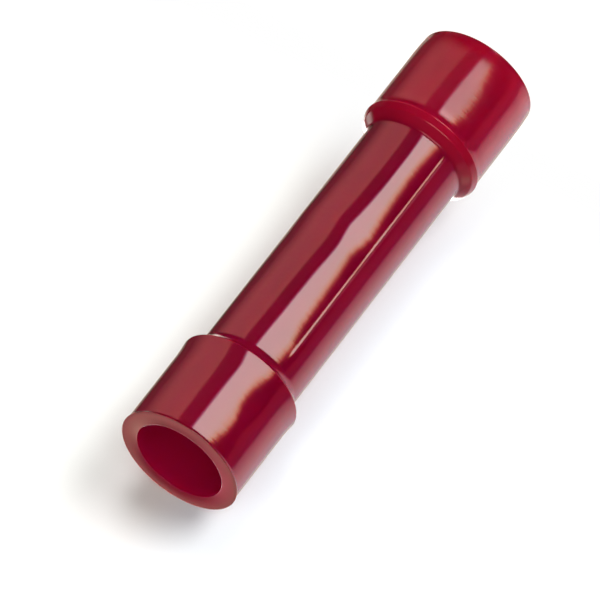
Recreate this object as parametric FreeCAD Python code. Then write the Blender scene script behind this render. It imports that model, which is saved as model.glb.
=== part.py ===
import FreeCAD, Part
import math
import os

os.makedirs("parts", exist_ok=True)

# Insulated butt splice for 0.5 to 1.5 mm2 wire (22 to 16 AWG), standing on one of its mouths.
# +Z runs along its axis and the origin is the centre of the lower mouth's face.
# Lengths are in millimetres and angles in degrees.

# Nylon sleeve, outside
overall_length = 26.5
middle_diameter = 5.24
bell_diameter = 6.28
bell_length = 5.2
crest_height = 0.085
crest_fall = 0.22
crest_radius = 0.4
shoulder_angle = 52.0
shoulder_root_radius = 0.15
lip_height = 0.075
lip_length = 0.28
lip_edge_radius = 0.06

# Nylon sleeve, inside
mouth_bore_diameter = 4.7
mouth_edge_radius = 0.1
funnel_angle = 40.0
ledge_width = 0.2
ledge_length = 0.12

# Tinned copper barrel
barrel_length = 15.0
barrel_diameter = 3.4
barrel_wall = 0.825
barrel_lead_in = 0.3
barrel_edge_break = 0.12
seam_width = 0.16
seam_depth = 0.1

# Wire stop, a groove rolled round the barrel at half length
stop_nose_radius = 0.5

# Fit of the barrel in the sleeve
barrel_side_clearance = 0.01
barrel_end_clearance = 0.05

middle_height = overall_length / 2
barrel_radius = barrel_diameter / 2
barrel_bore_radius = barrel_radius - barrel_wall


def at(radius, height):
    return FreeCAD.Vector(radius, 0, height)


def line(start, end):
    return Part.LineSegment(start, end).toShape()


def arc(centre, radius, first_angle, last_angle):
    """An arc in the XZ plane, with its angles counted from +X towards +Z."""
    angles = (first_angle, (first_angle + last_angle) / 2, last_angle)
    points = [
        centre + at(radius * math.cos(math.radians(a)), radius * math.sin(math.radians(a)))
        for a in angles
    ]
    return Part.Arc(*points).toShape()


def end_of(edge, last=True):
    return edge.valueAt(edge.LastParameter if last else edge.FirstParameter)


def turned(edges):
    """The closed outline of these edges, turned a full circle about Z."""
    wire = Part.Wire(Part.__sortEdges__(edges))
    solid = Part.Face(wire).revolve(FreeCAD.Vector(0, 0, 0), FreeCAD.Vector(0, 0, 1), 360)
    return solid.Solids[0] if solid.Solids else Part.Solid(solid.Shells[0])


def sleeve_outside():
    """Edges of the upper half's outer side, from half height up to the mouth's face."""
    middle_radius = middle_diameter / 2
    bell_radius = bell_diameter / 2
    crest_top = bell_radius + crest_height
    crest_z = overall_length - bell_length
    slope = math.radians(shoulder_angle)

    crest = arc(at(crest_top - crest_radius, crest_z), crest_radius, -shoulder_angle, 0)
    cone_top = end_of(crest, last=False)
    cone_bottom_radius = middle_radius + shoulder_root_radius * (1 - math.cos(slope))
    cone_run = (cone_top.x - cone_bottom_radius) / math.tan(slope)
    root_z = cone_top.z - cone_run - shoulder_root_radius * math.sin(slope)
    root = arc(
        at(middle_radius + shoulder_root_radius, root_z),
        shoulder_root_radius,
        180,
        180 - shoulder_angle,
    )

    lip_top = bell_radius + lip_height
    lip_edge = arc(
        at(lip_top - lip_edge_radius, overall_length - lip_edge_radius), lip_edge_radius, 0, 90
    )
    bell_start = at(bell_radius, crest_z + crest_fall)
    bell_end = at(bell_radius, overall_length - lip_length)
    return [
        line(at(middle_radius, middle_height), end_of(root, last=False)),
        root,
        line(end_of(root), cone_top),
        crest,
        line(end_of(crest), bell_start),
        line(bell_start, bell_end),
        line(bell_end, end_of(lip_edge, last=False)),
        lip_edge,
    ]


def sleeve_inside():
    """Edges of the upper half's inner side, from the mouth's face down to half height."""
    bore_radius = mouth_bore_diameter / 2
    seat_radius = barrel_radius + barrel_side_clearance
    seat_top = middle_height + barrel_length / 2 + barrel_end_clearance
    throat_radius = seat_radius - ledge_width
    throat_top = seat_top + ledge_length
    funnel_top = throat_top + (bore_radius - throat_radius) / math.tan(math.radians(funnel_angle))
    mouth_edge = arc(
        at(bore_radius + mouth_edge_radius, overall_length - mouth_edge_radius),
        mouth_edge_radius,
        90,
        180,
    )
    corners = [
        end_of(mouth_edge),
        at(bore_radius, funnel_top),
        at(throat_radius, throat_top),
        at(throat_radius, seat_top),
        at(seat_radius, seat_top),
        at(seat_radius, middle_height),
    ]
    return [mouth_edge] + [line(a, b) for a, b in zip(corners, corners[1:])]


def insulating_sleeve():
    """The sleeve: one half turned from its outline, and the same half mirrored below it."""
    outside = sleeve_outside()
    inside = sleeve_inside()
    mouth_face = line(end_of(outside[-1]), end_of(inside[0], last=False))
    half_plane = line(end_of(inside[-1]), end_of(outside[0], last=False))
    upper = turned(outside + [mouth_face] + inside + [half_plane])
    lower = upper.mirror(at(0, middle_height), FreeCAD.Vector(0, 0, 1))
    return upper.fuse(lower).removeSplitter()


def barrel_blank():
    """The barrel before its seam: a tube with broken edges and the rolled wire stop at half length.

    The roller's nose sinks in by its own radius, and the wall keeps its thickness under it.
    """
    bottom = middle_height - barrel_length / 2
    top = middle_height + barrel_length / 2
    nose_centre = at(barrel_radius, middle_height)
    bead_angle = math.degrees(math.acos(barrel_wall / (stop_nose_radius + barrel_wall)))
    groove = arc(nose_centre, stop_nose_radius, 270, 90)
    bead = arc(nose_centre, stop_nose_radius + barrel_wall, 180 - bead_angle, 180 + bead_angle)
    upper_side = [
        end_of(groove),
        at(barrel_radius, top - barrel_edge_break),
        at(barrel_radius - barrel_edge_break, top),
        at(barrel_bore_radius + barrel_lead_in, top),
        at(barrel_bore_radius, top - barrel_lead_in),
        end_of(bead, last=False),
    ]
    lower_side = [
        end_of(bead),
        at(barrel_bore_radius, bottom + barrel_lead_in),
        at(barrel_bore_radius + barrel_lead_in, bottom),
        at(barrel_radius - barrel_edge_break, bottom),
        at(barrel_radius, bottom + barrel_edge_break),
        end_of(groove, last=False),
    ]
    sides = [
        line(a, b)
        for corners in (upper_side, lower_side)
        for a, b in zip(corners, corners[1:])
    ]
    return turned([groove, bead] + sides)


def seam_groove():
    """The V along the barrel where the rolled strip's edges meet, on the -Y side.

    It is drawn twice as large as it is cut, so that it opens past the round surface.
    """
    below = middle_height - barrel_length
    corners = [
        FreeCAD.Vector(0, -barrel_radius + seam_depth, below),
        FreeCAD.Vector(-seam_width, -barrel_radius - seam_depth, below),
        FreeCAD.Vector(seam_width, -barrel_radius - seam_depth, below),
    ]
    outline = Part.makePolygon(corners + corners[:1])
    return Part.Face(outline).extrude(FreeCAD.Vector(0, 0, 2 * barrel_length))


def crimp_barrel():
    return barrel_blank().cut(seam_groove()).removeSplitter()


nodes = {
    "insulating_sleeve": insulating_sleeve(),
    "crimp_barrel": crimp_barrel(),
}
for name, shape in nodes.items():
    shape.exportStep("parts/" + name + ".step")
    print(name, len(shape.Solids), "solid", round(shape.Volume, 3), "mm3", shape.isValid())
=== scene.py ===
import bpy
import math
from mathutils import Matrix, Vector, noise


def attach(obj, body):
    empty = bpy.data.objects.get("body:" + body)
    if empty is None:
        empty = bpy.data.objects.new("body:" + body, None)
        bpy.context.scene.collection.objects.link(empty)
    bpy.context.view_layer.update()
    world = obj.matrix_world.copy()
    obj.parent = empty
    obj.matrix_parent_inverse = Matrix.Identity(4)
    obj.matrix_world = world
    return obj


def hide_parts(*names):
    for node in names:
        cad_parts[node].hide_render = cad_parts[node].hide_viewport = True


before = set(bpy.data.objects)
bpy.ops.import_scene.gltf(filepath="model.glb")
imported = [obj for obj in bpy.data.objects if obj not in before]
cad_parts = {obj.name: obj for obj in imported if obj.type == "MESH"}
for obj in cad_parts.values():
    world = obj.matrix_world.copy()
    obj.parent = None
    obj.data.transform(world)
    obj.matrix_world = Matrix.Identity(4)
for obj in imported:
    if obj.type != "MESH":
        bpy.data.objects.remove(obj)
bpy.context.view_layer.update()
mm = 0.001
scene = bpy.context.scene
scene.view_settings.view_transform = "Standard"
print("frame loaded:", ", ".join(sorted(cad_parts)))


# Shader graphs: a wrapped socket does arithmetic, and make() adds any other node
class Wire:
    def __init__(self, tree, socket=None):
        self.tree = tree
        self.socket = socket

    def make(self, kind, settings=None, sockets=None, output=0):
        node = self.tree.nodes.new(kind)
        for name, value in (settings or {}).items():
            if name == "stops":  # a ramp's stops, as (position, colour)
                stops = node.color_ramp.elements
                while len(stops) < len(value):
                    stops.new(1.0)
                for stop, (position, colour) in zip(stops, value):
                    stop.position = position
                    stop.color = (*colour, 1.0)
            else:
                setattr(node, name, value)
        for name, value in (sockets or {}).items():
            if isinstance(value, Wire):
                self.tree.links.new(value.socket, node.inputs[name])
            else:
                node.inputs[name].default_value = value
        return Wire(self.tree, node.outputs[output]) if node.outputs else node

    def maths(self, operation, first, second=0.0):
        return self.make("ShaderNodeMath", {"operation": operation}, {0: first, 1: second})

    def __add__(self, other):
        return self.maths("ADD", self, other)

    def __sub__(self, other):
        return self.maths("SUBTRACT", self, other)

    def __rsub__(self, other):
        return self.maths("SUBTRACT", other, self)

    def __mul__(self, other):
        return self.maths("MULTIPLY", self, other)

    __radd__ = __add__
    __rmul__ = __mul__

    def dot(self, first, second):
        return self.make("ShaderNodeVectorMath", {"operation": "DOT_PRODUCT"}, {0: first, 1: second}, "Value")

    def vector(self, operation, first, second):
        slot = "Scale" if operation == "SCALE" else 1
        return self.make("ShaderNodeVectorMath", {"operation": operation}, {0: first, slot: second})

    def rise(self, start, end):  # 0 before start, 1 after end, smooth between
        return self.make(
            "ShaderNodeMapRange",
            {"interpolation_type": "SMOOTHSTEP"},
            {"Value": self, "From Min": start, "From Max": end},
        )


def newGraph(block):
    block.use_nodes = True
    block.node_tree.nodes.clear()
    return Wire(block.node_tree)


def newMaterial(name):
    material = bpy.data.materials.new(name)
    return material, newGraph(material)


# Camera: the photograph's angle. The splice stands, so the frame is rolled to lay it down as photographed
cameraSetup = {
    "focalPixels": 8185.0,  # focal length in pixels of the 600 px frame
    "framePixels": 600.0,
    "azimuth": 25.9,
    "elevation": 29.2,
    "roll": -142.2,
    "mouthPixel": (179.15, 461.03),  # where the near mouth's centre is seen
    "mouthDistance": 383.0 * mm,
    "mouthHeight": 26.5 * mm,
    "filmWidth": 36.0,  # in millimetres, as Blender's lenses are
    "clip": (0.01, 10.0),  # in metres
}


def placeCamera(setup):
    azimuth = math.radians(setup["azimuth"])
    elevation = math.radians(setup["elevation"])
    roll = math.radians(setup["roll"])
    back = Vector((
        math.sin(azimuth) * math.cos(elevation),
        -math.cos(azimuth) * math.cos(elevation),
        math.sin(elevation),
    ))
    level = Vector((math.cos(azimuth), math.sin(azimuth), 0))
    upright = back.cross(level)
    right = level * math.cos(roll) + upright * math.sin(roll)
    up = upright * math.cos(roll) - level * math.sin(roll)

    middle = setup["framePixels"] / 2
    perPixel = setup["mouthDistance"] / setup["focalPixels"]
    across = (setup["mouthPixel"][0] - middle) * perPixel
    down = (setup["mouthPixel"][1] - middle) * perPixel
    mouth = Vector((0, 0, setup["mouthHeight"]))
    place = mouth - right * across + up * down + back * setup["mouthDistance"]

    data = bpy.data.cameras.new("camera")
    data.sensor_width = setup["filmWidth"]
    data.lens = data.sensor_width * setup["focalPixels"] / setup["framePixels"]
    data.clip_start, data.clip_end = setup["clip"]
    camera = bpy.data.objects.new("camera", data)
    scene.collection.objects.link(camera)
    camera.matrix_world = Matrix.Translation(place) @ Matrix((right, up, back)).transposed().to_4x4()
    scene.camera = camera


placeCamera(cameraSetup)
print("camera placed")


# Studio. Plain soft lights give the light and the shadow. What the gloss mirrors is a ring of panels
# all round, so that a glossy tube carries clear bands. "turn" counts from the camera's azimuth, to its
# left, and height is above the horizon, both in degrees.
studio = {
    "ambient": 0.08,
    "lights": [
        # turn, height, half angle of the full light, half angle where it ends, level
        (15, -25, 9, 24, 10.2),
        (-38, -27, 8, 20, 6.6),
        (0, 22, 8, 30, 1.1),
        (0, 72, 20, 50, 2.0),
        (180, 5, 30, 70, 1.8),
        (0, -88, 12, 34, 2.5),
    ],
    "gain": 10.0,  # a ramp holds levels up to 1, so it holds the mirrored levels as shares of this
    # the soft box and the warm side wall, by turn and by height
    "near": [
        (-150, (0.00, 0.00, 0.00)),
        (-140, (0.25, 0.09, 0.09)),
        (-127, (0.20, 0.06, 0.07)),
        (-113, (0.80, 0.28, 0.27)),
        (-92, (2.05, 0.66, 0.56)),
        (-74, (2.10, 0.72, 0.68)),
        (-50, (2.40, 0.82, 0.62)),
        (-44, (0.20, 0.01, 0.01)),
        (-21, (0.02, 0.00, 0.01)),
        (-18, (2.60, 0.90, 2.00)),
        (-15, (8.30, 6.60, 6.60)),
        (12, (8.30, 6.70, 6.10)),
        (21, (8.20, 5.00, 3.20)),
        (27, (4.60, 1.20, 0.55)),
        (31, (1.30, 0.14, 0.06)),
        (35, (0.20, 0.01, 0.01)),
        (46, (0.01, 0.00, 0.01)),
        (60, (0.00, 0.00, 0.00)),
    ],
    "nearHeights": [(-90, 0.0), (-45, 0.0), (-33, 1.0), (-14, 1.0), (-3, 0.0), (90, 0.0)],
    # the pale table, by turn and by height
    "table": [
        (-180, (0.80, 0.66, 0.52)),
        (-160, (0.50, 0.36, 0.30)),
        (-148, (0.00, 0.00, 0.00)),
        (60, (0.03, 0.00, 0.01)),
        (65, (1.20, 0.08, 0.12)),
        (76, (1.10, 0.09, 0.20)),
        (86, (0.85, 0.08, 0.28)),
        (92, (2.30, 0.70, 0.90)),
        (98, (2.55, 0.92, 1.08)),
        (114, (2.60, 1.25, 1.30)),
        (132, (1.90, 1.12, 1.25)),
        (146, (1.30, 0.90, 1.02)),
        (160, (1.00, 0.85, 0.80)),
        (180, (0.80, 0.66, 0.52)),
    ],
    "tableHeights": [
        (-90, 0.0), (-80, 0.0), (-66, 0.6), (-48, 0.6), (-38, 1.0), (-12, 1.0), (6, 0.35), (40, 0.25),
        (55, 0.0), (90, 0.0),
    ],
    # the room above, by height
    "above": [
        (-90, (0.20, 0.02, 0.05)),
        (-56, (0.10, 0.01, 0.02)),
        (-40, (0.00, 0.00, 0.00)),
        (20, (0.00, 0.00, 0.00)),
        (50, (0.12, 0.01, 0.03)),
        (90, (0.12, 0.01, 0.03)),
    ],
    # strips: turn, half width, edge, lower and upper height, edge, level
    "strips": [
        (180, 20, 2.5, -20, 9, 3, (6.0, 5.6, 5.6)),
        (2, 30, 8, 37, 48, 3, (4.8, 2.6, 2.4)),
        (150, 20, 20, 22, 33, 8, (4.50, 3.20, 2.30)),
        (-165, 10, 10, 14, 31, 8, (2.60, 0.65, 0.80)),
        (-162, 18, 6, -62, -42, 5, (2.4, 2.1, 1.9)),
        (-155, 14, 5, -2, 22, 4, (1.6, 1.5, 1.4)),
    ],
}


def aimed(turn, height):
    # unit vector in the room for a turn and a height
    azimuth = math.radians(cameraSetup["azimuth"] - turn)
    level = math.cos(math.radians(height))
    return (math.sin(azimuth) * level, -math.cos(azimuth) * level, math.sin(math.radians(height)))


def rampOf(graph, value, stops, low, high, gain):
    # the colour for a value: stops are (value, colour) from low to high, and come out as shares of the gain
    shares = [((at - low) / (high - low), tuple(level / gain for level in colour)) for at, colour in stops]
    place = (value - low) * (1 / (high - low))
    return graph.make("ShaderNodeValToRGB", {"stops": shares}, {"Fac": place})


def mirroredLight(graph, direction, setup):
    dots = [graph.dot(direction, aimed(turn, height)) for turn, height in ((90, 0), (0, 0), (0, 90))]
    degree = 180 / math.pi
    turn = graph.maths("ARCTAN2", dots[0], dots[1]) * degree
    height = graph.maths("ARCSINE", dots[2]) * degree
    gain = setup["gain"]
    light = graph.vector("SCALE", rampOf(graph, height, setup["above"], -90, 90, gain), gain)
    for ring in ("near", "table"):
        colours = rampOf(graph, turn, setup[ring], -180, 180, gain)
        heights = [(at, (level,) * 3) for at, level in setup[ring + "Heights"]]
        fade = rampOf(graph, height, heights, -90, 90, 1.0) * gain
        light = graph.vector("ADD", light, graph.vector("SCALE", colours, fade))
    for centre, halfWidth, edge, low, high, heightEdge, colour in setup["strips"]:
        away = graph.maths("PINGPONG", turn - centre, 180.0)
        across = 1 - away.rise(halfWidth - edge, halfWidth + edge)
        aboveLow = height.rise(low - heightEdge, low + heightEdge)
        aboveHigh = height.rise(high - heightEdge, high + heightEdge)
        light = graph.vector("ADD", light, graph.vector("SCALE", colour, across * (aboveLow - aboveHigh)))
    return light


def plainLight(graph, direction, setup):
    level = setup["ambient"]
    for turn, height, full, end, strength in setup["lights"]:
        facing = graph.dot(direction, aimed(turn, height))
        level = level + facing.rise(math.cos(math.radians(end)), math.cos(math.radians(full))) * strength
    return level


def buildStudio(setup):
    world = bpy.data.worlds.new("studio")
    scene.world = world
    graph = newGraph(world)
    direction = graph.make("ShaderNodeTexCoord", output="Generated")
    path = {
        ray: graph.make("ShaderNodeLightPath", output=ray)
        for ray in ("Is Camera Ray", "Is Glossy Ray")
    }
    plain = graph.make("ShaderNodeBackground", sockets={
        "Color": (1, 1, 1, 1), "Strength": plainLight(graph, direction, setup)})
    mirrored = graph.make("ShaderNodeBackground", sockets={"Color": mirroredLight(graph, direction, setup)})
    white = graph.make("ShaderNodeBackground", sockets={"Color": (1, 1, 1, 1)})
    lit = graph.make("ShaderNodeMixShader", sockets={0: path["Is Glossy Ray"], 1: plain, 2: mirrored})
    shown = graph.make("ShaderNodeMixShader", sockets={0: path["Is Camera Ray"], 1: lit, 2: white})
    graph.make("ShaderNodeOutputWorld", sockets={"Surface": shown})


buildStudio(studio)
print("studio lit")


# Stage: a pale floor under the splice, and a pale wall that both bells touch and that takes the shadow
stage = {
    "bellRadius": 3.225 * mm,
    "wallAzimuth": 46.6,  # the way the wall faces
    "wallGap": 0.03 * mm,
    "size": 400.0 * mm,
    # painted light: an emitted tint that lightens the wall's shadow, by how far left of the splice the wall
    # is: bluish on the right, a little of it and warm in the middle, greenish on the left
    "wallPaintedTint": [
        (-3.0 * mm, (0.000, 0.045, 0.085)),
        (1.0 * mm, (0.035, 0.020, 0.000)),
        (3.0 * mm, (0.040, 0.025, 0.000)),
        (7.0 * mm, (0.080, 0.100, 0.060)),
    ],
    "wallSide": 10.0 * mm,  # how far the ramp of that light reaches each way
    "wallShade": 0.78,
    # painted light: below the lower of these heights the wall is plain white emission, so its shadow is
    # painted out there
    "wallShadowPaintedOut": (1.5 * mm, 9.0 * mm),  # the heights between which the wall's shadow comes in
    "floorGlow": (0.80, 0.79, 0.76),
    "floorShade": 0.42,
}


def stagePlane(name, centre, normal, size):
    mesh = bpy.data.meshes.new(name)
    half = size / 2
    turnTo = Vector(normal).to_track_quat("Z", "Y").to_matrix()
    corners = [turnTo @ Vector((x * half, y * half, 0)) for x, y in ((-1, -1), (1, -1), (1, 1), (-1, 1))]
    mesh.from_pydata([Vector(centre) + corner for corner in corners], [], [(0, 1, 2, 3)])
    plane = bpy.data.objects.new(name, mesh)
    scene.collection.objects.link(plane)
    plane.visible_glossy = False
    plane.visible_diffuse = False
    plane.visible_transmission = False
    plane.visible_shadow = False
    return plane


def paleFront(graph, glow, shade):
    lit = graph.make("ShaderNodeBsdfDiffuse", sockets={"Color": (shade, shade, shade, 1.0)})
    glow = graph.make("ShaderNodeEmission", sockets={"Color": glow, "Strength": 1.0})
    return graph.make("ShaderNodeAddShader", sockets={0: lit, 1: glow})


def seenFromFront(graph, front):
    through = graph.make("ShaderNodeBsdfTransparent")
    behind = graph.make("ShaderNodeNewGeometry", output="Backfacing")
    shown = graph.make("ShaderNodeMixShader", sockets={0: behind, 1: front, 2: through})
    graph.make("ShaderNodeOutputMaterial", sockets={"Surface": shown})


def floorMaterial(setup):
    material, graph = newMaterial("pale_floor")
    seenFromFront(graph, paleFront(graph, (*setup["floorGlow"], 1.0), setup["floorShade"]))
    return material


def wallMaterial(setup, leftwards):
    material, graph = newMaterial("pale_wall")
    place = graph.make("ShaderNodeNewGeometry", output="Position")
    height = graph.make("ShaderNodeSeparateXYZ", sockets={0: place}, output="Z")
    side = graph.dot(place, leftwards)
    # painted light: the emitted tint laid into the wall's shadow, by side
    glow = rampOf(graph, side, setup["wallPaintedTint"], -setup["wallSide"], setup["wallSide"], 1.0)
    shaded = paleFront(graph, glow, setup["wallShade"])
    white = graph.make("ShaderNodeEmission", sockets={"Color": (1, 1, 1, 1), "Strength": 1.0})
    # painted light: below these heights the wall shows plain white, which paints its shadow out
    fade = height.rise(*setup["wallShadowPaintedOut"])
    seenFromFront(graph, graph.make("ShaderNodeMixShader", sockets={0: fade, 1: white, 2: shaded}))
    return material


def buildStage(setup):
    floor = stagePlane("floor", (0, 0, 0), (0, 0, 1), setup["size"])
    facing = math.radians(setup["wallAzimuth"])
    normal = Vector((math.sin(facing), -math.cos(facing), 0))
    leftwards = (math.cos(facing), math.sin(facing), 0)
    wall = stagePlane("wall", -normal * (setup["bellRadius"] + setup["wallGap"]), normal, setup["size"])
    floor.data.materials.append(floorMaterial(setup))
    wall.data.materials.append(wallMaterial(setup, leftwards))


buildStage(stage)
print("stage set")


# Nylon sleeve, turned about Z from its outline. Lengths in mm, angles in degrees
sleeve = {
    "length": 26.5,
    "middleRadius": 2.62,
    "boreRadius": 2.35,
    "mouthEdge": 0.03,
    "ringStep": 0.2,  # length of a step along the straight runs
    "boreStep": 0.5,  # and inside, along the bells
    "seatStep": 1.5,  # and along the barrel's seat
    "edgeSteps": 6,
    "lipSteps": 8,
    "crestSteps": 8,
    "bendSteps": 6,
    "boreEdgeSteps": 4,
    "shortRun": 0.45,  # the most of a run that one rounded corner takes
    "middleRun": 0.3,  # the start of the middle, beyond a shoulder's last corner
    "sharpAngle": 35,
    "throatRadius": 1.51,
    "seatRadius": 1.71,
    "seatTop": 5.7,
    "throatTop": 5.58,
    "funnelTop": 4.58,
    # each end by distances from its own mouth's face: where the bell reaches its crest, the crest's height
    # and length, the lip at the mouth and the radius of its edge, and by how much and over what length the
    # bell narrows towards the mouth. The shoulder is a list of (radius, distance) corners from the crest to
    # the middle, each with the length that rounds it off
    "upper": {"bell": 5.23, "bodyRadius": 3.14, "crest": 0.06, "crestLength": 1.10,
              "lip": 0.06, "lipLength": 0.16, "edge": 0.01, "taper": 0.0, "taperLength": 0.0,
              "shoulder": [(3.20, 5.23, 0.05), (2.83, 5.48, 0.20), (2.62, 5.88, 0.30)]},
    "lower": {"bell": 5.10, "bodyRadius": 3.14, "crest": 0.08, "crestLength": 0.50,
              "lip": 0.0, "lipLength": 0.1, "edge": 0.04, "taper": 0.045, "taperLength": 1.1,
              "shoulder": [(3.22, 5.10, 0.02), (3.08, 5.44, 0.07), (2.64, 5.86, 0.12), (2.62, 6.0, 0.1)]},
    # the print of the barrel's seam
    "seamHeight": 0.035,
    "seamWidth": 1.6,
    "seamStops": (1.4, 0.8),  # how far it stops from the upper and the lower bell
    "seamFade": 0.3,
    # the nearer bell's soft ripple: azimuth, half width, first trough from the face, wavelength, depth
    "ripple": (5.0, 9.0, -0.15, 3.5, 0.028),
    "rippleFade": 0.4,
    # sinks: azimuth, height, half width in degrees, half length, depth
    "sinks": [
        (24.0, 12.3, 15.0, 0.9, 0.012),
        (44.0, 22.3, 8.0, 0.7, 0.008),
    ],
    "wander": (0.0028, 0.5),  # depth and how many waves to a millimetre
    "fineWander": (0.5, 2.3),  # a finer one on top: its share of the depth, and how many times as many waves
    "columns": 264,
    "seamColumns": 24,
    "seamSpan": 7.0,  # the seam's own columns reach this many degrees to each side of it
}


def arcPoints(centreR, centreD, radius, first, last, count):
    angles = [math.radians(first + (last - first) * i / count) for i in range(count + 1)]
    return [(centreR + radius * math.cos(a), centreD + radius * math.sin(a)) for a in angles]


def straight(start, end, step):
    count = max(1, round(math.dist(start, end) / step))
    return [
        (start[0] + (end[0] - start[0]) * i / count, start[1] + (end[1] - start[1]) * i / count)
        for i in range(1, count)
    ]


def roundedCorner(shape, before, corner, after, rounding):
    # the corner cut back by its rounding each way, or by less where a run is short, as a smooth bend
    back = min(rounding, (before - corner).length * shape["shortRun"])
    forward = min(rounding, (after - corner).length * shape["shortRun"])
    start = corner + (before - corner).normalized() * back
    finish = corner + (after - corner).normalized() * forward
    bend = []
    for i in range(shape["bendSteps"] + 1):
        t = i / shape["bendSteps"]
        bend.append(tuple(start * (1 - t) ** 2 + corner * (2 * t * (1 - t)) + finish * t ** 2))
    return bend


def outsideOf(shape, end):
    # (radius, distance from the mouth's face), from the face's outer edge in to half length
    mouthRadius = end["bodyRadius"] - end["taper"] + end["lip"]
    points = arcPoints(mouthRadius - end["edge"], end["edge"], end["edge"], -90, 0, shape["edgeSteps"])
    bodyStart = end["lipLength"]
    for i in range(1, shape["lipSteps"] + 1):
        share = i / shape["lipSteps"]
        fall = 0.5 + 0.5 * math.cos(math.pi * share)
        points.append((
            end["bodyRadius"] - end["taper"] + end["lip"] * fall,
            end["edge"] + (bodyStart - end["edge"]) * share,
        ))
    bodyEnd = end["bell"] - end["crestLength"]
    body = straight(points[-1], (end["bodyRadius"], bodyEnd), shape["ringStep"])
    if end["taper"]:
        start = points[-1][1]
        reach = end["taperLength"]
        narrowing = [max(0.0, 1 - (d - start) / reach) ** 2 for r, d in body]
        body = [(end["bodyRadius"] - end["taper"] * share, d) for share, (r, d) in zip(narrowing, body)]
    points += body
    for i in range(shape["crestSteps"]):
        rise = (i / shape["crestSteps"]) ** 2
        along = end["crestLength"] * i / shape["crestSteps"]
        points.append((end["bodyRadius"] + end["crest"] * rise, bodyEnd + along))
    corners = [points[-1]] + [(r, d) for r, d, rounding in end["shoulder"]]
    corners.append((shape["middleRadius"], corners[-1][1] + shape["middleRun"]))
    roundings = [rounding for r, d, rounding in end["shoulder"]]
    for before, corner, after, rounding in zip(corners, corners[1:], corners[2:], roundings):
        bend = roundedCorner(shape, Vector(before), Vector(corner), Vector(after), rounding)
        points += straight(points[-1], bend[0], shape["ringStep"] / 2) + bend
    return points


def insideOf(shape):
    # from the face's inner edge in to half length
    edge = shape["mouthEdge"]
    points = arcPoints(shape["boreRadius"] + edge, edge, edge, 270, 180, shape["boreEdgeSteps"])
    corners = [
        points[-1],
        (shape["boreRadius"], shape["funnelTop"]),
        (shape["throatRadius"], shape["throatTop"]),
        (shape["throatRadius"], shape["seatTop"]),
        (shape["seatRadius"], shape["seatTop"]),
    ]
    for a, b in zip(corners, corners[1:]):
        points += straight(a, b, shape["boreStep"]) + [b]
    return points


def sleeveOutline(shape):
    # (radius, z) round a closed loop: down the outside from the upper mouth, then up the inside
    length = shape["length"]
    upper = [(r, length - d) for r, d in outsideOf(shape, shape["upper"])]
    lower = outsideOf(shape, shape["lower"])
    middle = straight(upper[-1], lower[-1], shape["ringStep"])
    outside = upper + middle + lower[::-1]
    inside = insideOf(shape)
    inside += straight(inside[-1], (shape["seatRadius"], length - shape["seatTop"]), shape["seatStep"])
    inside += [(r, length - d) for r, d in insideOf(shape)[::-1]]
    return outside, inside


def sleeveColumns(shape):
    # angles round the axis from the seam, closer together where the seam's ridge is
    span = math.radians(shape["seamSpan"])
    near = [-span + 2 * span * i / shape["seamColumns"] for i in range(shape["seamColumns"])]
    rest = [span + (2 * math.pi - 2 * span) * i / shape["columns"] for i in range(shape["columns"])]
    return near + rest


def ripple(shape, degrees, z):
    at, width, trough, wavelength, depth = shape["ripple"]
    fromFace = shape["length"] - z
    fade = min(1.0, max(0.0, (shape["upper"]["bell"] - fromFace) / shape["rippleFade"]))
    wave = math.cos(2 * math.pi * (fromFace - trough) / wavelength)
    return -depth * wave * fade * math.exp(-(((degrees - at) / width) ** 2))


def wander(shape, turn, z):
    depth, waves = shape["wander"]
    share, finer = shape["fineWander"]
    radius = shape["middleRadius"] * waves
    place = Vector((math.cos(turn) * radius, math.sin(turn) * radius, z * waves))
    return depth * (noise.noise(place) + share * noise.noise(place * finer))


def sleeveOffset(shape, turn, z):
    # how far the skin stands off its turned outline
    degrees = math.degrees(turn)
    if degrees > 180:
        degrees -= 360
    offset = ripple(shape, degrees, z) + wander(shape, turn, z)
    for at, height, width, reach, depth in shape["sinks"]:
        offset -= depth * math.exp(-(((degrees - at) / width) ** 2) - ((z - height) / reach) ** 2)
    middleTop = shape["length"] - shape["upper"]["bell"] - shape["seamStops"][0]
    middleBottom = shape["lower"]["bell"] + shape["seamStops"][1]
    if middleBottom < z < middleTop:
        fade = min(1.0, (z - middleBottom) / shape["seamFade"], (middleTop - z) / shape["seamFade"])
        offset += shape["seamHeight"] * fade * math.exp(-(degrees / shape["seamWidth"]) ** 2)
    return offset


def buildSleeve(shape):
    outside, inside = sleeveOutline(shape)
    turns = sleeveColumns(shape)
    rings = outside + inside
    points = []
    for index, (radius, z) in enumerate(rings):
        for turn in turns:
            r = radius + (sleeveOffset(shape, turn, z) if index < len(outside) else 0.0)
            points.append((r * math.sin(turn) * mm, -r * math.cos(turn) * mm, z * mm))
    count = len(turns)
    faces = []
    for ring in range(len(rings)):
        nextRing = (ring + 1) % len(rings)
        for column in range(count):
            nextColumn = (column + 1) % count
            faces.append((
                ring * count + column,
                nextRing * count + column,
                nextRing * count + nextColumn,
                ring * count + nextColumn,
            ))
    mesh = bpy.data.meshes.new("nylon_sleeve")
    mesh.from_pydata(points, [], faces)
    mesh.update()
    mesh.shade_smooth()
    mesh.set_sharp_from_angle(angle=math.radians(shape["sharpAngle"]))
    piece = bpy.data.objects.new("nylon_sleeve", mesh)
    scene.collection.objects.link(piece)
    return piece


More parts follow.
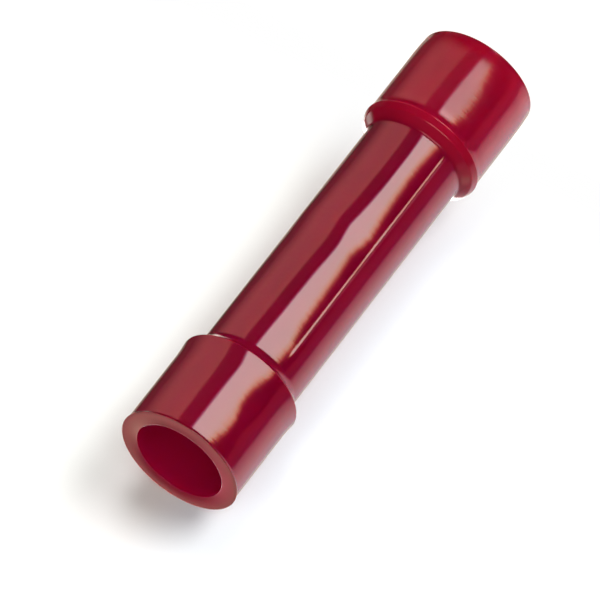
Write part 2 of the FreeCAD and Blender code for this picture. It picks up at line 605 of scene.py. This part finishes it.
nylon = {
    # the colour by height, with painted light in it: the open lower bell is painted lighter than the upper
    # one by the camera, for the light it lets through, the band of its shoulder lighter still, for light from
    # above, and the upper mouth's face lighter too
    "colours": [
        (2.5 * mm, (0.212, 0.0016, 0.0145)),
        (5.00 * mm, (0.200, 0.0013, 0.0145)),
        (5.15 * mm, (0.275, 0.0032, 0.0190)),
        (5.75 * mm, (0.275, 0.0032, 0.0190)),
        (5.95 * mm, (0.150, 0.0007, 0.0135)),
        (20.6 * mm, (0.148, 0.0007, 0.0135)),
        (21.6 * mm, (0.152, 0.0007, 0.0130)),
        (26.30 * mm, (0.154, 0.0007, 0.0130)),
        (26.48 * mm, (0.190, 0.0012, 0.0150)),
    ],
    "clouds": (0.88, 1.0),  # the lowest and the highest share of the colour
    "cloudsBetween": (0.35, 0.65),  # the noise levels where the clouds begin and end
    "cloudsPerMm": 0.35,
    "cloudsDetail": 3.0,
    # painted light: the bore is painted lighter than the outside, most towards the upper mouth, for the light
    # that comes in at the mouth
    "boreLitColours": [
        (20.5 * mm, (0.330, 0.0017, 0.036)),
        (24.5 * mm, (0.380, 0.0022, 0.042)),
        (26.40 * mm, (0.420, 0.0024, 0.047)),
        (26.47 * mm, (0.200, 0.0014, 0.022)),
    ],
    # painted shade: the outer rims of both mouths are darkened, which dims the light that scatters through
    # their thin edges
    "rimShadeColour": (0.110, 0.0008, 0.009, 1.0),
    "rims": ((0.20 * mm, 0.0), (26.30 * mm, 26.46 * mm)),  # how far in from each end the darker rim reaches
    "rimRadius": (3.00 * mm, 3.18 * mm),
    "throughWall": (2.36 * mm, 2.50 * mm),  # the radii where the bore's colour gives way to the outside's
    "length": 26.5 * mm,
    "roughness": (0.045, 0.085),
    "farRoughness": 0.045,  # added on the lower bell
    "farSatin": (3.6 * mm, 5.0 * mm),
    "faceDish": -19.0,  # the upper mouth's face is a little hollow: its lean in radians for each metre
    "face": (26.44 * mm, 26.48 * mm),  # the heights between which that face comes in
    "ior": 1.53,
    "scatterReach": 0.35 * mm,
    "farReach": 3.0 * mm,
    "farEdge": (0.08 * mm, 0.60 * mm),  # heights between which the open far bell's long reach begins
    "farEnd": (1.2 * mm, 3.2 * mm),  # and ends
    "scatterColour": (1.0, 0.10, 0.25),
    # turned marks: fine rings that lean the surface sideways, strongest on the lower bell
    "marksPerMm": 9.0,
    "marksRound": 0.9,  # how often they change to a millimetre round the sleeve
    "marksDetail": 2.0,
    "marksRegular": 0.22,  # how much of the marks comes from even rings, the rest from uneven ones
    "ringsApart": 0.18 * mm,
    "ringsWander": 2.2,
    "ringsDetail": (1.0, 0.4),
    "lean": 0.11,
    "lowerLean": 0.20,
    "lowerFlare": 3.8,  # the lower bell leans this much down, in degrees
    "flared": (4.2 * mm, 4.8 * mm),
    "mouthFlare": 6.0,  # and this much more by its mouth
    "mouthFlared": (0.1 * mm, 1.1 * mm),
    "lowerBell": (4.6 * mm, 5.2 * mm),
    "mouldingTurn": -154.1,  # the side that lies to the right of the moulding line
    "markedSide": (-0.10 * mm, 0.40 * mm),  # the marks begin by the moulding line
    "markedEnd": (0.95 * mm, 1.45 * mm),  # and end to the right of it
    # the skin isn't quite round: how many degrees it leans outwards on the left and on the right of the
    # moulding line, by height
    "roundness": [
        (0.3 * mm, (2.0, 8.0)),
        (1.3 * mm, (1.8, 6.0)),
        (2.5 * mm, (0.8, 0.8)),
        (4.0 * mm, (0.4, 0.0)),
        (4.6 * mm, (1.2, 2.4)),
        (5.8 * mm, (1.5, 0.3)),
        (7.4 * mm, (3.1, 3.1)),
        (9.0 * mm, (3.0, 2.8)),
        (10.8 * mm, (1.6, 0.4)),
        (12.2 * mm, (-0.5, -2.2)),
        (13.6 * mm, (2.2, 3.2)),
        (15.2 * mm, (0.5, 0.0)),
        (18.2 * mm, (-0.9, -2.4)),
        (19.4 * mm, (-1.5, -7.0)),
        (21.4 * mm, (-2.2, -4.0)),
        (22.0 * mm, (-0.4, -1.0)),
        (26.5 * mm, (0.0, -1.0)),
    ],
    "mostLean": 10.0,
    "roundnessEnd": (0.95 * mm, 1.6 * mm),  # where the lean on the right ends
    "mouldingLine": 0.35 * mm,  # half the width over which the left gives way to the right
}


def nylonMaterial(setup):
    material, graph = newMaterial("red_nylon_skin")
    place = graph.make("ShaderNodeTexCoord", output="Object")
    parts = [graph.make("ShaderNodeSeparateXYZ", sockets={0: place}, output=axis) for axis in ("X", "Y", "Z")]

    clouds = graph.make("ShaderNodeTexNoise", sockets={
        "Vector": place, "Scale": setup["cloudsPerMm"] / mm, "Detail": setup["cloudsDetail"]})
    low, high = setup["clouds"]
    cloudy = clouds.rise(*setup["cloudsBetween"]) * (low - high) + high
    # painted light: the colour by height is lighter on the lower bell, its shoulder and the upper mouth's
    # face
    colour = rampOf(graph, parts[2], setup["colours"], 0.0, setup["length"], 1.0)
    colour = graph.vector("SCALE", colour, cloudy)
    # painted light: the bore's lighter colour by height
    boreLitColour = rampOf(graph, parts[2], setup["boreLitColours"], 0.0, setup["length"], 1.0)

    outwards = graph.vector("MULTIPLY", place, (1.0, 1.0, 0.0))
    radius = graph.make("ShaderNodeVectorMath", {"operation": "LENGTH"}, {0: outwards}, "Value")
    # painted shade on the outer rims of both mouths
    rim = parts[2].rise(*setup["rims"][0]) + parts[2].rise(*setup["rims"][1])
    colour = graph.make("ShaderNodeMix", {"data_type": "RGBA"}, {
        "Factor": rim * radius.rise(*setup["rimRadius"]), "A": colour, "B": setup["rimShadeColour"]}, "Result")
    outside = radius.rise(*setup["throughWall"])
    colour = graph.make("ShaderNodeMix", {"data_type": "RGBA"}, {
        "Factor": outside, "A": boreLitColour, "B": colour}, "Result")

    ringScale = (setup["marksRound"] / mm, setup["marksRound"] / mm, setup["marksPerMm"] / mm)
    ringPlace = graph.vector("MULTIPLY", place, ringScale)
    uneven = graph.make("ShaderNodeTexNoise", sockets={
        "Vector": ringPlace, "Scale": 1.0, "Detail": setup["marksDetail"]})
    bandsApart = 2 * math.pi / 20  # a wave texture's own, at scale 1
    even = graph.make("ShaderNodeTexWave", {"wave_type": "BANDS", "bands_direction": "Z"}, {
        "Vector": place,
        "Scale": bandsApart / setup["ringsApart"],
        "Distortion": setup["ringsWander"],
        "Detail": setup["ringsDetail"][0],
        "Detail Scale": setup["ringsDetail"][1],
    }, "Fac")
    rings = uneven * (1 - setup["marksRegular"]) + even * setup["marksRegular"]
    low, high = setup["roughness"]
    satin = 1 - parts[2].rise(*setup["farSatin"])
    roughness = rings * (high - low) + low + satin * setup["farRoughness"]

    # the marks lean the normal along the tangent, which blurs the long edges of the reflections
    lowerBell = 1 - parts[2].rise(*setup["lowerBell"])
    mouldingTurn = math.radians(setup["mouldingTurn"])
    side = graph.dot(place, (math.cos(mouldingTurn), math.sin(mouldingTurn), 0.0))
    marked = side.rise(*setup["markedSide"]) - side.rise(*setup["markedEnd"])
    lean = (rings - 0.5) * marked * (lowerBell * (setup["lowerLean"] - setup["lean"]) + setup["lean"])

    # out of round: a ramp holds no levels below 0, so the leans are written above the most negative one
    most = setup["mostLean"]
    leans = [(at, (left + most, right + most, 0.0)) for at, (left, right) in setup["roundness"]]
    leans = rampOf(graph, parts[2], leans, 0.0, setup["length"], 2 * most)
    onLeft = graph.make("ShaderNodeSeparateXYZ", sockets={0: leans}, output="X") - 0.5
    onRight = graph.make("ShaderNodeSeparateXYZ", sockets={0: leans}, output="Y") - 0.5
    right = side.rise(-setup["mouldingLine"], setup["mouldingLine"])
    outwardLean = onLeft * (1 - right) - onRight * (right - side.rise(*setup["roundnessEnd"]))
    lean = lean + outwardLean * (2 * math.radians(most))
    sideways = graph.make("ShaderNodeCombineXYZ", sockets={"X": parts[1] * -1.0, "Y": parts[0], "Z": 0.0})
    tangent = graph.make("ShaderNodeVectorMath", {"operation": "NORMALIZE"}, {0: sideways})
    facing = graph.make("ShaderNodeNewGeometry", output="Normal")
    tilted = graph.vector("ADD", facing, graph.vector("SCALE", tangent, lean))
    down = (1 - parts[2].rise(*setup["flared"])) * setup["lowerFlare"]
    down = down + (1 - parts[2].rise(*setup["mouthFlared"])) * setup["mouthFlare"]
    down = down * radius.rise(*setup["rimRadius"]) * math.radians(1)
    tilted = graph.vector("ADD", tilted, graph.vector("SCALE", (0.0, 0.0, -1.0), down))
    dish = parts[2].rise(*setup["face"]) * setup["faceDish"]
    tilted = graph.vector("ADD", tilted, graph.vector("SCALE", outwards, dish))
    normal = graph.make("ShaderNodeVectorMath", {"operation": "NORMALIZE"}, {0: tilted})

    shaders = [
        graph.make("ShaderNodeBsdfPrincipled", {"subsurface_method": "RANDOM_WALK"}, {
            "Base Color": colour,
            "Roughness": roughness,
            "Normal": normal,
            "IOR": setup["ior"],
            "Subsurface Weight": 1.0,
            "Subsurface Radius": setup["scatterColour"],
            "Subsurface Scale": reach,
        })
        for reach in (setup["farReach"], setup["scatterReach"])
    ]
    deep = parts[2].rise(*setup["farEdge"]) - parts[2].rise(*setup["farEnd"])
    mixed = graph.make("ShaderNodeMixShader", sockets={0: deep, 1: shaders[1], 2: shaders[0]})
    graph.make("ShaderNodeOutputMaterial", sockets={"Surface": mixed})
    return material


sleevePiece = buildSleeve(sleeve)
sleevePiece.data.materials.append(nylonMaterial(nylon))
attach(sleevePiece, "root")
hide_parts("insulating_sleeve")
print("sleeve made:", len(sleevePiece.data.polygons), "faces")


# Tinned barrel inside: the frame's own solid, with a drawn tin finish
tin = {
    "colour": (0.74, 0.73, 0.71, 1.0),
    "dullColour": (0.60, 0.59, 0.57, 1.0),
    "mottlePerMm": 1.1,
    "mottleDetail": 4.0,
    "mottleBetween": (0.35, 0.65),
    "linesPerMm": 8.0,  # fine lines drawn along the barrel
    "linesAlongPerMm": 0.35,
    "linesDetail": 2.0,
    "roughness": (0.22, 0.44),
    "relief": 0.012 * mm,
    "reliefStrength": 0.35,
}


def tinMaterial(setup):
    material, graph = newMaterial("tinned_barrel")
    place = graph.make("ShaderNodeTexCoord", output="Object")
    mottle = graph.make("ShaderNodeTexNoise", sockets={
        "Vector": place, "Scale": setup["mottlePerMm"] / mm, "Detail": setup["mottleDetail"]})
    across = setup["linesPerMm"] / mm
    linePlace = graph.vector("MULTIPLY", place, (across, across, setup["linesAlongPerMm"] / mm))
    lines = graph.make("ShaderNodeTexNoise", sockets={
        "Vector": linePlace, "Scale": 1.0, "Detail": setup["linesDetail"]})
    dull = mottle.rise(*setup["mottleBetween"])
    colour = graph.make("ShaderNodeMix", {"data_type": "RGBA"}, {
        "Factor": dull, "A": setup["colour"], "B": setup["dullColour"]}, "Result")
    low, high = setup["roughness"]
    relief = graph.make("ShaderNodeBump", sockets={
        "Strength": setup["reliefStrength"], "Distance": setup["relief"], "Height": lines})
    shader = graph.make("ShaderNodeBsdfPrincipled", sockets={
        "Base Color": colour,
        "Roughness": lines * (high - low) + low,
        "Metallic": 1.0,
        "Normal": relief,
    })
    graph.make("ShaderNodeOutputMaterial", sockets={"Surface": shader})
    return material


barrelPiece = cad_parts["crimp_barrel"]
barrelPiece.data.materials.clear()
barrelPiece.data.materials.append(tinMaterial(tin))
print("barrel finished")
